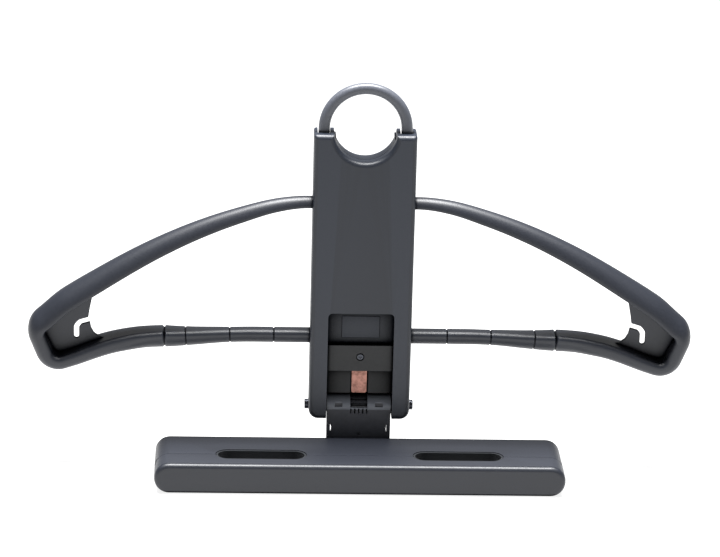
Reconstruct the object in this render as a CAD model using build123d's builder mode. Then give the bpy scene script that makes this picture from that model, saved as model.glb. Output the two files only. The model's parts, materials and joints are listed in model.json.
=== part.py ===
"""Clamp-on coat hanger with a folding body, a bail ring and a two-jaw post clamp.

All sizes are millimetres. +X runs to the hanger's right, +Y to its back, +Z up. The origin is
the middle of the clamp bar's underside, the face that the hanger stands on.
"""

from build123d import *
import os
from math import cos, radians, sin

os.makedirs("parts", exist_ok=True)

# ---------------------------------------------------------------- clamp bar
bar_length = 274.6
bar_height = 20.8
bar_depth = 54.4
bar_end_radius = 10.0
rear_jaw_depth = 34.1
jaw_wall = 2.6
jaw_gap = 0.3
cover_thickness = 3.4
cover_edge_radius = 3.0
shadow_gap = 0.4
finger_notch = 2.2

slot_length = 58.0
slot_width = 13.8
slot_spacing = 132.2
slot_wall = 2.2
liner_thickness = 1.6
liner_recess = 0.4

rod_end_margin = 21.8
rod_radius = 2.5
rod_boss_radius = 5.6
bush_radius = 4.0
bush_flange_radius = 5.8
bush_flange = 1.2
bush_collar = 1.4
clamp_spring_radius = 4.6
clamp_spring_wire = 1.0
clamp_spring_turns = 6.5
washer_radius = 6.0
washer_thickness = 1.2
nut_across_flats = 8.0
nut_thickness = 3.6

# ---------------------------------------------------------------- hanger body
body_width = 68.2
body_depth = 22.0
body_wall = 2.4
body_drop = 7.3
body_corner_radius = 6.5
body_edge_radius = 3.2
front_shell_depth = 9.0
horn_rise = 193.2
horn_corner_radius = 1.6
scoop_radius = 20.9
scoop_over_horn = 2.0

pocket_side_gap = 0.6
pocket_rise = 68.9
pocket_corner_radius = 3.0
pocket_wall = 2.0
pocket_floor = 1.8
ledge_rise = 45.5
shelf_bottom_rise = 27.2
shelf_setback = 2.5
cheek_height = 14.0
cheek_reach = 6.0
panel_length = 25.0
panel_height = 15.0
panel_relief = 0.35

# ---------------------------------------------------------------- ring
ring_rod_radius = 3.8
ring_pivot_drop = 9.2
ring_pin_radius = 1.6
ring_side_clearance = 0.45

# ---------------------------------------------------------------- hinge
barrel_radius = 7.0
neck_width = 43.2
drum_width = 11.6
drum_radius = 6.2
drum_teeth = 10
drum_groove_radius = 0.9
barrel_bore_radius = 3.2
hinge_bush_length = 4.6
plunger_stem_radius = 2.5
plunger_collar_radius = 3.1
plunger_collar = 2.0
plunger_head_radius = 3.4
plunger_proud = 2.7
plunger_tip_gap = 16.0
plunger_slot = 1.0
plunger_spring_wire = 0.6
plunger_spring_turns = 6
neck_plate = 3.0
neck_flange = 2.4
neck_flange_reach = 12.0
neck_foot = 2.0
neck_back_gap = 0.5
scallop_radius = 7.75
scallop_depth = 3.1
scallop_drop = 15.1
neck_pip_radius = 1.1
neck_pip_drop = 18.6
comb_slits = 5
comb_slit_width = 1.0
comb_slit_height = 3.6
barrel_window = 5.2

# ---------------------------------------------------------------- leaf spring
leaf_width = 10.2
leaf_thickness = 0.6
leaf_tip_rise = 8.8
leaf_top_rise = 43.0
retainer_plate = 2.0
retainer_slot_width = 11.8
retainer_screw_rise = 37.2

# ---------------------------------------------------------------- wings
wing_wall = 2.2
web_thickness = 2.4
hook_slot_width = 3.4
root_gap = 1.3
root_flange = 2.0
root_flange_length = 2.6
root_depth = 12.5
arm_root_drop = 45.3
arm_root_height = 6.9
bar_root_rise = 44.4
bar_root_height = 9.7
joint_x = 131.7
joint_rise = 40.4
joint_depth = 19.0
joint_height = 13.0
groove_pitch = 29.3
groove_width = 0.9
groove_depth = 0.5
spigot_radius = 3.4
spigot_length = 9.0

# ---------------------------------------------------------------- screws and fits
screw_head_radius = 2.5
screw_head = 1.8
screw_shank_radius = 1.45
screw_boss_radius = 3.1
screw_cross = 0.7
top_screw_drop = 27.2
running_clearance = 0.05
seat_clearance = 0.1
loose_clearance = 0.4

# ---------------------------------------------------------------- places
bar_back = bar_depth / 2
bar_front = -bar_depth / 2
split_y = bar_back - rear_jaw_depth
rear_face_y = split_y + jaw_gap / 2
front_face_y = split_y - jaw_gap / 2
rear_cover_y = bar_back - cover_thickness
front_cover_y = bar_front + cover_thickness
bar_middle_z = bar_height / 2
slot_centres = [-slot_spacing / 2, slot_spacing / 2]
rod_centres = [rod_end_margin - bar_length / 2, bar_length / 2 - rod_end_margin]
cover_screw_x = [-bar_length / 2 + bar_end_radius, -30.0, 30.0, bar_length / 2 - bar_end_radius]

neck_screw_places = [(14.0, 5.6), (14.0, 15.2)]
front_screw_sink = 7.0
front_screw_length = front_face_y - front_screw_sink - front_cover_y + cover_thickness - 1.4
rod_grip = 12.0
rod_end_y = rear_cover_y - 0.6
washer_y = rod_end_y - nut_thickness - washer_thickness - 0.4
bush_seat_y = rear_face_y + jaw_wall
spring_seat_y = bush_seat_y + bush_flange + 0.2
clamp_spring_length = washer_y - 0.2 - spring_seat_y

hinge_y = bar_back + barrel_radius
hinge_z = bar_height + 21.0
body_front_y = hinge_y - body_depth / 2
body_back_y = hinge_y + body_depth / 2
parting_y = body_front_y + front_shell_depth
body_bottom = hinge_z - body_drop
horn_top = hinge_z + horn_rise
scoop_z = horn_top + scoop_over_horn
body_half = body_width / 2
side_inner_x = body_half - body_wall
pocket_width = neck_width + 2 * pocket_side_gap
pocket_half = pocket_width / 2
cheek_x = pocket_half + pocket_wall / 2

scoop_half_at_top = (scoop_radius**2 - (scoop_z - horn_top) ** 2) ** 0.5
ring_radius = (body_half + scoop_half_at_top) / 2
ring_pivot_z = horn_top - ring_pivot_drop
ring_slot_half = ring_rod_radius + ring_side_clearance
ring_pin_reach = 6.0
pocket_top = hinge_z + pocket_rise
ledge_z = hinge_z + ledge_rise
shelf_bottom_z = hinge_z + shelf_bottom_rise
cheek_bottom = body_bottom + body_wall + 0.3
cheek_top = hinge_z + cheek_height
cheek_slot_half = plunger_stem_radius + loose_clearance
leaf_front_y = hinge_y - 1.0
shelf_y = body_front_y + shelf_setback
shell_screw_seat_y = body_back_y - 5.0
shell_screw_length = 13.0
shell_screw_places = [
    (22.0, horn_rise - top_screw_drop),
    (22.0, 100.0),
    (cheek_x + screw_boss_radius + pocket_wall, 20.0),
]
sides = {"left": -1, "right": 1}


scallop_x = neck_width / 2 - scallop_depth + scallop_radius
neck_comb_z = hinge_z - 0.6 - comb_slit_height / 2
comb_x = [(i - (comb_slits - 1) / 2) * 2.7 for i in range(comb_slits)]
window_x = (neck_width + drum_width) / 4
window_depth = 2.2
plunger_end_x = body_half + plunger_proud
plunger_collar_x = neck_width / 2 - hinge_bush_length
plunger_head_x = plunger_end_x - 7.3
plunger_spring_length = plunger_tip_gap - 0.2


# The tip of an arm is two arcs of the outer crest joined by a straight side. Headings are
# degrees from +X in the front view, and heights are over the hinge.
tip_depth = 29.6
tip_height = 12.6
tip_low_x = 203.0
tip_low_z = 25.2
tip_low_radius = 16.0
tip_high_radius = 17.0
tip_side_length = 12.0
tip_high_heading = -40.0
tip_side_heading = -112.0
tip_low_heading = -198.0


def outward(heading):
    """Direction out of the crest, in the front view, where the arm runs at this heading."""
    return -sin(radians(heading)), cos(radians(heading))


def on_arc(centre, radius, heading):
    """Point of a tip arc, in the front view, where the crest runs at this heading."""
    out = outward(heading)
    return centre[0] + radius * out[0], centre[1] + radius * out[1]


low_centre = (tip_low_x, tip_low_z + tip_low_radius)
side_end = on_arc(low_centre, tip_low_radius, tip_side_heading)
side_start = (
    side_end[0] - tip_side_length * cos(radians(tip_side_heading)),
    side_end[1] - tip_side_length * sin(radians(tip_side_heading)),
)
high_centre = on_arc(side_start, -tip_high_radius, tip_side_heading)
tip_start = on_arc(high_centre, tip_high_radius, tip_high_heading)
tip_end = on_arc(low_centre, tip_low_radius, tip_low_heading)


def shoulder_rise(share):
    """Height of the shoulder's crest at a share of the way from the tip up to the root."""
    return tip_start[1] + share * (horn_rise - arm_root_drop - tip_start[1])



# Each station of an arm gives the outer crest's x and height, the heading, the band's depth
# front to back, and its height from the crest to the inner edge.
root_inner_x = pocket_half + pocket_wall + root_gap
arm_root_rise = horn_rise - arm_root_drop
arm_root = (root_depth, arm_root_height, arm_root_rise, 0)
bar_root = (root_depth, bar_root_height, bar_root_rise, -180)
arm_corner = 2.2
upper_stations = [
    (root_inner_x, arm_root_rise, 0, root_depth, arm_root_height),
    (body_half + 3.0, arm_root_rise, 0, root_depth, arm_root_height),
    (56.0, shoulder_rise(0.98), -9, 13.4, 7.6),
    (81.0, shoulder_rise(0.903), -17, 15.0, 8.9),
    (106.0, shoulder_rise(0.8), -21, 16.8, 10.0),
    (142.0, shoulder_rise(0.603), -27, 20.5, 11.4),
    (175.0, shoulder_rise(0.376), -31.5, 25.0, 12.4),
    (200.0, shoulder_rise(0.184), -34, 28.4, tip_height),
    (*tip_start, tip_high_heading, tip_depth, tip_height),
]
lower_stations = [
    (*tip_end, tip_low_heading, tip_depth, tip_height),
    (188.0, 29.3, -200, 28.0, 13.4),
    (176.0, 33.6, -199, 25.6, 13.6),
    (163.0, 37.4, -192, 23.2, 13.4),
    (149.0, 39.5, -186, 21.0, 13.2),
    (joint_x, joint_rise, -182, joint_depth, joint_height),
]
bar_stations = [
    (joint_x, joint_rise, -182, joint_depth, joint_height),
    (112.0, 41.9, -185, 15.6, 11.3),
    (90.0, 43.9, -183, 13.0, 9.8),
    (70.0, bar_root_rise, -180, root_depth, bar_root_height),
]
gutter_first = 2
gutter_last = 3
gutter_overrun = 0.8

web_edge = [(172.0, 51.0), (177.6, 52.0), (181.2, 54.6), (183.6, 58.0), (183.2, 61.0), (182.5, 66.0),
            (180.3, 76.0)]
hook_path = [(181.0, 59.6), (188.6, 57.4), (191.0, 54.2), (191.0, 47.8)]

joint_middle_z = hinge_z + joint_rise + joint_height / 2
flange_x = side_inner_x - root_flange_length - seat_clearance
groove_x = [joint_x - groove_pitch * (i + 0.5) for i in range(3)]
barrel_back = (barrel_radius**2 - (body_drop - body_wall) ** 2) ** 0.5
neck_back_y = max(bar_back + neck_flange_reach, hinge_y + barrel_back) + neck_back_gap
ring_block_width = 2 * ring_pin_reach + 1.0
ring_block_x = ring_radius - 1.5
retainer_screw_length = 12.0
retainer_bottom_z = hinge_z + barrel_radius + 2.2


def front_plane(y):
    """Plane that faces the hanger's front at depth y; its normal is -Y."""
    return Plane.XZ.offset(-y)


def across_plane(x):
    """Plane across the hanger at x; its local x is +Y and its local y is +Z."""
    return Plane.YZ.offset(x)


def both_sides(places):
    """Points of one side together with their mirror images in X."""
    return [(side * x, z) for side in (-1, 1) for x, z in places]


def bar_outline(inset):
    """Front outline of the clamp bar, inset by a wall."""
    with BuildSketch() as outline:
        with Locations((0, bar_middle_z)):
            RectangleRounded(bar_length - 2 * inset, bar_height - 2 * inset, bar_end_radius - inset)
    return outline.sketch


def slot_outline(grow):
    """Plan of both post slots, grown all round."""
    with BuildSketch() as outline:
        with Locations(*[(x, split_y) for x in slot_centres]):
            SlotOverall(slot_length + 2 * grow, slot_width + 2 * grow)
    return outline.sketch


def half_plan(y_from, y_to):
    """Plan strip across the bar that keeps one jaw's side of the slots."""
    with BuildSketch() as strip:
        with Locations((0, (y_from + y_to) / 2)):
            Rectangle(bar_length, abs(y_to - y_from))
    return strip.sketch


def finger_notches():
    """Plan of the V notches that part the jaws at the bar's ends."""
    with BuildSketch() as notches:
        with Locations(*[(side * bar_length / 2, split_y) for side in (-1, 1)]):
            Rectangle(2 * finger_notch, 2 * finger_notch, rotation=45)
    return notches.sketch


def body_outline(inset):
    """Front outline of the hanger body, inset by a wall."""
    with BuildSketch() as outline:
        with Locations((0, (body_bottom + horn_top) / 2)):
            Rectangle(body_width - 2 * inset, horn_top - body_bottom - 2 * inset)
        fillet(outline.vertices().group_by(Axis.Y)[0], body_corner_radius - inset)
        fillet(outline.vertices().group_by(Axis.Y)[-1], max(horn_corner_radius - inset, 0.4))
        with Locations((0, scoop_z)):
            Circle(scoop_radius + inset, mode=Mode.SUBTRACT)
    return outline.sketch


def rim_groove(outer, inner, y, amount):
    """Shallow groove round a joint's rim, from depth y, to cut from one of the two pieces."""
    with BuildPart() as groove:
        with BuildSketch(front_plane(y)):
            add(outer)
            add(inner, mode=Mode.SUBTRACT)
        extrude(amount=amount)
    return groove.part


def pan_screw(length):
    """Cross-recessed pan-head screw: head above the local origin, shank down local -Z."""
    with BuildPart() as screw:
        with BuildSketch():
            Circle(screw_head_radius)
        extrude(amount=screw_head)
        fillet(screw.faces().sort_by(Axis.Z)[-1].edges(), screw_head / 2)
        with BuildSketch():
            Circle(screw_shank_radius)
        extrude(amount=-length)
        with BuildSketch(Plane.XY.offset(screw_head)):
            Rectangle(2.4, screw_cross)
            Rectangle(screw_cross, 2.4)
        extrude(amount=-screw_head / 2, mode=Mode.SUBTRACT)
    return screw.part


def coil_spring(radius, wire, length, turns):
    """Round-wire compression spring along local +Z."""
    height = length - wire
    with BuildPart() as spring:
        with BuildLine() as coil:
            Helix(pitch=height / turns, height=height, radius=radius, center=(0, 0, wire / 2))
        with BuildSketch(Plane(origin=coil.line @ 0, z_dir=coil.line % 0)):
            Circle(wire / 2)
        sweep(path=coil.line, is_frenet=True)
    return spring.part


def band_section(depth, height, corner):
    """Arm section: a half ellipse on the outside and a flat inside with rounded corners."""
    with BuildSketch() as section:
        with BuildLine():
            EllipticalCenterArc((0, -height), depth / 2, height, 0, arc_size=180)
            Line((-depth / 2, -height), (depth / 2, -height))
        make_face()
        fillet(section.vertices(), corner)
    return section.sketch


def gutter_section(depth, height, wall, overrun):
    """Hollow of an arm section: the wall's inner half ellipse, open past the flat inside."""
    half = depth / 2 - wall
    with BuildSketch() as section:
        with BuildLine():
            EllipticalCenterArc((0, -height), half, height - wall, 0, arc_size=180)
            Polyline((-half, -height), (-half, -height - overrun), (half, -height - overrun), (half, -height))
        make_face()
    return section.sketch


def arm_plane(x, z, heading):
    """Plane across an arm at its outer crest; local y points out of the crest."""
    along = (cos(radians(heading)), 0, sin(radians(heading)))
    return Plane(origin=(x, hinge_y, hinge_z + z), x_dir=(0, 1, 0), z_dir=along)


def arm_body(section, upper, lower):
    """Solid that carries a section along the upper stations, round the tip and along the lower."""
    with BuildPart() as arm:
        for x, z, heading, depth, height in upper:
            with BuildSketch(arm_plane(x, z, heading)):
                add(section(depth, height))
        loft()
        with BuildSketch(arm_plane(*tip_start, tip_high_heading)):
            add(section(tip_depth, tip_height))
        revolve(axis=Axis((high_centre[0], hinge_y, hinge_z + high_centre[1]), (0, 1, 0)),
                revolution_arc=tip_high_heading - tip_side_heading)
        with BuildSketch(arm_plane(*side_start, tip_side_heading)):
            add(section(tip_depth, tip_height))
        extrude(amount=tip_side_length)
        with BuildSketch(arm_plane(*side_end, tip_side_heading)):
            add(section(tip_depth, tip_height))
        revolve(axis=Axis((low_centre[0], hinge_y, hinge_z + low_centre[1]), (0, 1, 0)),
                revolution_arc=tip_side_heading - tip_low_heading)
        for x, z, heading, depth, height in lower:
            with BuildSketch(arm_plane(x, z, heading)):
                add(section(depth, height))
        loft()
    return arm.part


def web_outline():
    """Outline of the web that closes the arm's tip, reaching half way into its wall."""
    bite = wing_wall / 2
    rim = []
    for x, z, heading, depth, height in upper_stations[-3:]:
        rim.append(on_arc((x, z), -bite, heading))
    for step in range(1, 7):
        heading = tip_high_heading + step / 6 * (tip_side_heading - tip_high_heading)
        rim.append(on_arc(high_centre, tip_high_radius - bite, heading))
    for step in range(7):
        heading = tip_side_heading + step / 6 * (tip_low_heading - tip_side_heading)
        rim.append(on_arc(low_centre, tip_low_radius - bite, heading))
    for x, z, heading, depth, height in lower_stations[1:3]:
        rim.append(on_arc((x, z), -bite, heading))
    with BuildSketch() as outline:
        with BuildLine():
            Polyline(*[(x, hinge_z + z) for x, z in rim + web_edge], close=True)
        make_face()
        with BuildLine() as hook:
            FilletPolyline(*[(x, hinge_z + z) for x, z in hook_path], radius=3.0)
        trace(hook.line, hook_slot_width, mode=Mode.SUBTRACT)
    return outline.sketch


def bar_at(x):
    """Trouser bar's crest height, depth and height at x, between its stations."""
    for outer, inner in zip(bar_stations, bar_stations[1:]):
        if inner[0] <= x <= outer[0]:
            share = (outer[0] - x) / (outer[0] - inner[0])
            return [a + share * (b - a) for a, b in zip(outer[1:], inner[1:])]
    return bar_stations[-1][1:]


def ring_groove(x):
    """Shallow ring to cut round the trouser bar at x."""
    crest, heading, depth, height = bar_at(x)
    with BuildPart() as ring:
        with BuildSketch(arm_plane(x + groove_width / 2, crest, heading)):
            with Locations((0, -height / 2)):
                Rectangle(2 * depth, 2 * height)
            with Locations((0, groove_depth)):
                add(band_section(depth - 2 * groove_depth, height - 2 * groove_depth, arm_corner),
                    mode=Mode.SUBTRACT)
        extrude(amount=groove_width)
    return ring.part


def root_holes(root, grow):
    """Pair of holes for arm roots through the body's side walls."""
    depth, height, crest, heading = root
    lift = grow if heading == 0 else -grow
    with BuildPart() as holes:
        for side in sides.values():
            with BuildSketch(arm_plane(side * (side_inner_x + body_wall / 2), crest + lift, heading)):
                add(band_section(depth + 2 * grow, height + 2 * grow, arm_corner))
            extrude(amount=body_wall, both=True)
    return holes.part


def pocket_outline():
    """Front outline of the hinge pocket, open at the body's bottom edge."""
    with BuildSketch() as outline:
        with Locations((0, (body_bottom - 1.0 + pocket_top) / 2)):
            Rectangle(pocket_width, pocket_top - body_bottom + 1.0)
        fillet(outline.vertices().group_by(Axis.Y)[-1], pocket_corner_radius)
    return outline.sketch


def rod_along_x(radius, x_from, x_to, z):
    """Round bar across the hanger at the hinge's depth."""
    with BuildPart() as bar:
        with BuildSketch(across_plane(x_from)):
            with Locations((hinge_y, z)):
                Circle(radius)
        extrude(amount=x_to - x_from)
    return bar.part


# ================================================================ clamp bar, rear half
with BuildPart() as rear_jaw:
    with BuildSketch(front_plane(rear_cover_y)):
        add(bar_outline(0))
    extrude(amount=rear_cover_y - rear_face_y)
    with BuildSketch(front_plane(rear_cover_y)):
        add(bar_outline(jaw_wall))
    extrude(amount=rear_cover_y - rear_face_y - jaw_wall, mode=Mode.SUBTRACT)
    with BuildSketch(Plane.XY.offset(jaw_wall / 2)):
        add(slot_outline(liner_thickness + slot_wall))
        add(half_plan(rear_face_y, bar_back), mode=Mode.INTERSECT)
    extrude(amount=bar_height - jaw_wall)
    with BuildSketch(front_plane(rear_cover_y)):
        with Locations(*[(x, bar_middle_z) for x in cover_screw_x]):
            Circle(screw_boss_radius)
        with Locations(*both_sides(neck_screw_places)):
            Circle(screw_boss_radius)
    extrude(amount=rear_cover_y - rear_face_y - jaw_wall / 2)
    with BuildSketch(Plane.XY):
        add(slot_outline(liner_thickness))
    extrude(amount=bar_height, mode=Mode.SUBTRACT)
    with BuildSketch(front_plane(rear_face_y)):
        with Locations(*[(x, bar_middle_z) for x in rod_centres]):
            Circle(bush_radius)
    extrude(amount=-jaw_wall, mode=Mode.SUBTRACT)
    with BuildSketch(front_plane(rear_cover_y)):
        with Locations(*[(x, bar_middle_z) for x in cover_screw_x]):
            Circle(screw_shank_radius + running_clearance)
        with Locations(*both_sides(neck_screw_places)):
            Circle(screw_shank_radius + running_clearance)
    extrude(amount=12.0, mode=Mode.SUBTRACT)
    with BuildSketch(Plane.XY):
        add(finger_notches())
    extrude(amount=bar_height, mode=Mode.SUBTRACT)
rear_jaw.part.label = "rear_jaw"
export_step(rear_jaw.part, "parts/rear_jaw.step")

with BuildPart() as rear_jaw_cover:
    with BuildSketch(front_plane(rear_cover_y)):
        add(bar_outline(0))
    extrude(amount=-cover_thickness)
    fillet(rear_jaw_cover.faces().sort_by(Axis.Y)[-1].edges(), cover_edge_radius)
    add(rim_groove(bar_outline(0), bar_outline(shadow_gap), rear_cover_y, -shadow_gap), mode=Mode.SUBTRACT)
    with BuildSketch(front_plane(bar_back)):
        with Locations(*[(x, bar_middle_z) for x in cover_screw_x]):
            Circle(screw_shank_radius + loose_clearance / 2)
        with Locations(*both_sides(neck_screw_places)):
            Circle(screw_shank_radius + loose_clearance / 2)
    extrude(amount=cover_thickness, mode=Mode.SUBTRACT)
    with BuildSketch(front_plane(bar_back)):
        with Locations(*[(x, bar_middle_z) for x in cover_screw_x]):
            Circle(screw_head_radius + seat_clearance)
    extrude(amount=screw_head, mode=Mode.SUBTRACT)
rear_jaw_cover.part.label = "rear_jaw_cover"
export_step(rear_jaw_cover.part, "parts/rear_jaw_cover.step")

with BuildPart() as rear_cover_screws:
    for x in cover_screw_x:
        with Locations(Location((x, bar_back - screw_head, bar_middle_z), (-90, 0, 0))):
            add(pan_screw(11.0))
rear_cover_screws.part.label = "rear_cover_screws"
export_step(rear_cover_screws.part, "parts/rear_cover_screws.step")

# ================================================================ clamp bar, front half
with BuildPart() as front_jaw:
    with BuildSketch(front_plane(front_face_y)):
        add(bar_outline(0))
    extrude(amount=front_face_y - front_cover_y)
    with BuildSketch(front_plane(front_face_y - jaw_wall)):
        add(bar_outline(jaw_wall))
    extrude(amount=front_face_y - jaw_wall - front_cover_y, mode=Mode.SUBTRACT)
    with BuildSketch(Plane.XY.offset(jaw_wall / 2)):
        add(slot_outline(liner_thickness + slot_wall))
        add(half_plan(bar_front, front_face_y), mode=Mode.INTERSECT)
    extrude(amount=bar_height - jaw_wall)
    with BuildSketch(front_plane(front_face_y - jaw_wall / 2)):
        with Locations(*[(x, bar_middle_z) for x in cover_screw_x]):
            Circle(screw_head_radius + jaw_wall / 2)
        with Locations(*[(x, bar_middle_z) for x in rod_centres]):
            Circle(rod_boss_radius)
    extrude(amount=front_face_y - jaw_wall / 2 - front_cover_y)
    with BuildSketch(Plane.XY):
        add(slot_outline(liner_thickness))
        add(finger_notches())
    extrude(amount=bar_height, mode=Mode.SUBTRACT)
    with BuildSketch(front_plane(front_face_y)):
        with Locations(*[(x, bar_middle_z) for x in rod_centres]):
            Circle(rod_radius)
    extrude(amount=rod_grip, mode=Mode.SUBTRACT)
    with BuildSketch(front_plane(front_face_y)):
        with Locations(*[(x, bar_middle_z) for x in cover_screw_x]):
            Circle(screw_shank_radius + loose_clearance / 2)
    extrude(amount=front_face_y - front_cover_y, mode=Mode.SUBTRACT)
    with BuildSketch(front_plane(front_face_y)):
        with Locations(*[(x, bar_middle_z) for x in cover_screw_x]):
            Circle(screw_head_radius + seat_clearance)
    extrude(amount=front_screw_sink, mode=Mode.SUBTRACT)
front_jaw.part.label = "front_jaw"
export_step(front_jaw.part, "parts/front_jaw.step")

with BuildPart() as front_jaw_cover:
    with BuildSketch(front_plane(front_cover_y)):
        add(bar_outline(0))
    extrude(amount=cover_thickness)
    fillet(front_jaw_cover.faces().sort_by(Axis.Y)[0].edges(), cover_edge_radius)
    add(rim_groove(bar_outline(0), bar_outline(shadow_gap), front_cover_y, shadow_gap), mode=Mode.SUBTRACT)
    with BuildSketch(front_plane(front_cover_y)):
        with Locations(*[(x, bar_middle_z) for x in cover_screw_x]):
            Circle(screw_shank_radius + running_clearance)
    extrude(amount=cover_thickness - 1.0, mode=Mode.SUBTRACT)
front_jaw_cover.part.label = "front_jaw_cover"
export_step(front_jaw_cover.part, "parts/front_jaw_cover.step")

with BuildPart() as front_cover_screws:
    for x in cover_screw_x:
        with Locations(Location((x, front_face_y - front_screw_sink, bar_middle_z), (-90, 0, 0))):
            add(pan_screw(front_screw_length))
front_cover_screws.part.label = "front_cover_screws"
export_step(front_cover_screws.part, "parts/front_cover_screws.step")

# ================================================================ rubber slot liners
liner_strips = {"rear": (rear_face_y, bar_back), "front": (bar_front, front_face_y)}
for jaw_name, (y_from, y_to) in liner_strips.items():
    for side_name, x in zip(sides, slot_centres):
        with BuildPart() as liner:
            with BuildSketch(Plane.XY.offset(liner_recess)):
                with Locations((x, split_y)):
                    SlotOverall(slot_length + 2 * liner_thickness, slot_width + 2 * liner_thickness)
                    SlotOverall(slot_length, slot_width, mode=Mode.SUBTRACT)
                add(half_plan(y_from, y_to), mode=Mode.INTERSECT)
            extrude(amount=bar_height - 2 * liner_recess)
        liner.part.label = f"{jaw_name}_liner_{side_name}"
        export_step(liner.part, f"parts/{jaw_name}_liner_{side_name}.step")

# ================================================================ guide rods and closing springs
with BuildPart() as rod_bushes:
    with BuildSketch(front_plane(rear_face_y + bush_collar - jaw_wall / 2)):
        with Locations(*[(x, bar_middle_z) for x in rod_centres]):
            Circle(bush_radius)
    extrude(amount=-(bush_seat_y - rear_face_y - bush_collar + jaw_wall / 2))
    with BuildSketch(front_plane(bush_seat_y)):
        with Locations(*[(x, bar_middle_z) for x in rod_centres]):
            Circle(bush_flange_radius)
    extrude(amount=-bush_flange)
    with BuildSketch(front_plane(rear_face_y)):
        with Locations(*[(x, bar_middle_z) for x in rod_centres]):
            Circle(rod_radius + running_clearance)
    extrude(amount=-(bush_seat_y + bush_flange - rear_face_y), mode=Mode.SUBTRACT)
rod_bushes.part.label = "rod_bushes"
export_step(rod_bushes.part, "parts/rod_bushes.step")

for side_name, x in zip(sides, rod_centres):
    with BuildPart() as guide_rod:
        with BuildSketch(front_plane(rod_end_y)):
            with Locations((x, bar_middle_z)):
                Circle(rod_radius)
        extrude(amount=rod_end_y - (front_face_y - rod_grip))
        chamfer(guide_rod.faces().sort_by(Axis.Y)[-1].edges(), 0.4)
    guide_rod.part.label = f"guide_rod_{side_name}"
    export_step(guide_rod.part, f"parts/guide_rod_{side_name}.step")

    with BuildPart() as clamp_spring:
        with Locations(Location((x, spring_seat_y, bar_middle_z), (-90, 0, 0))):
            add(coil_spring(clamp_spring_radius, clamp_spring_wire, clamp_spring_length, clamp_spring_turns))
    clamp_spring.part.label = f"clamp_spring_{side_name}"
    export_step(clamp_spring.part, f"parts/clamp_spring_{side_name}.step")

with BuildPart() as rod_washers:
    with BuildSketch(front_plane(washer_y)):
        with Locations(*[(x, bar_middle_z) for x in rod_centres]):
            Circle(washer_radius)
            Circle(rod_radius, mode=Mode.SUBTRACT)
    extrude(amount=-washer_thickness)
rod_washers.part.label = "rod_washers"
export_step(rod_washers.part, "parts/rod_washers.step")

with BuildPart() as rod_nuts:
    with BuildSketch(front_plane(washer_y + washer_thickness)):
        with Locations(*[(x, bar_middle_z) for x in rod_centres]):
            RegularPolygon(nut_across_flats / 2, 6, major_radius=False)
            Circle(rod_radius, mode=Mode.SUBTRACT)
    extrude(amount=-nut_thickness)
rod_nuts.part.label = "rod_nuts"
export_step(rod_nuts.part, "parts/rod_nuts.step")

# ================================================================ neck and hinge
with BuildPart() as neck_bracket:
    with BuildSketch(front_plane(bar_back)):
        with Locations((0, (neck_foot + hinge_z) / 2)):
            Rectangle(neck_width, hinge_z - neck_foot)
        with Locations(*both_sides([(scallop_x, hinge_z - scallop_drop)])):
            Circle(scallop_radius, mode=Mode.SUBTRACT)
        with Locations(*[(x, neck_comb_z) for x in comb_x]):
            Rectangle(comb_slit_width, comb_slit_height, mode=Mode.SUBTRACT)
        with Locations(*both_sides(neck_screw_places)):
            Circle(screw_shank_radius + loose_clearance / 2, mode=Mode.SUBTRACT)
    extrude(amount=-neck_plate)
    with BuildSketch(front_plane(bar_back)):
        with Locations(*both_sides([(neck_width / 2 - neck_flange / 2, (neck_foot + hinge_z) / 2)])):
            Rectangle(neck_flange, hinge_z - neck_foot)
    extrude(amount=-neck_flange_reach)
    with BuildSketch(across_plane(drum_width / 2)):
        with Locations((hinge_y, hinge_z)):
            Circle(barrel_radius)
    extrude(amount=(neck_width - drum_width) / 2)
    with BuildSketch(across_plane(-drum_width / 2)):
        with Locations((hinge_y, hinge_z)):
            Circle(barrel_radius)
    extrude(amount=-(neck_width - drum_width) / 2)
    with BuildSketch(across_plane(0)):
        with Locations((hinge_y, hinge_z)):
            Circle(drum_radius + seat_clearance)
    extrude(amount=drum_width / 2, both=True, mode=Mode.SUBTRACT)
    with BuildSketch(across_plane(-neck_width / 2)):
        with Locations((hinge_y, hinge_z)):
            Circle(barrel_bore_radius)
    extrude(amount=neck_width, mode=Mode.SUBTRACT)
    with BuildSketch(front_plane(bar_back - 1.0)):
        with Locations(*both_sides([(window_x, hinge_z + 2.6)])):
            Rectangle(barrel_window, barrel_window - 1.2)
    extrude(amount=-window_depth, mode=Mode.SUBTRACT)
    with BuildSketch(front_plane(bar_back)):
        with Locations((0, hinge_z - neck_pip_drop)):
            Circle(neck_pip_radius)
    extrude(amount=-neck_plate / 3, mode=Mode.SUBTRACT)
neck_bracket.part.label = "neck_bracket"
export_step(neck_bracket.part, "parts/neck_bracket.step")

with BuildPart() as neck_screws:
    for x, z in both_sides(neck_screw_places):
        with Locations(Location((x, bar_back + neck_plate, z), (-90, 0, 0))):
            add(pan_screw(14.0))
neck_screws.part.label = "neck_screws"
export_step(neck_screws.part, "parts/neck_screws.step")

with BuildPart() as detent_drum:
    with BuildSketch(across_plane(-drum_width / 2)):
        with Locations((hinge_y, hinge_z)):
            Circle(drum_radius)
            Circle(barrel_bore_radius, mode=Mode.SUBTRACT)
            with PolarLocations(drum_radius, drum_teeth, start_angle=90):
                Circle(drum_groove_radius, mode=Mode.SUBTRACT)
    extrude(amount=drum_width)
detent_drum.part.label = "detent_drum"
export_step(detent_drum.part, "parts/detent_drum.step")

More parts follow.
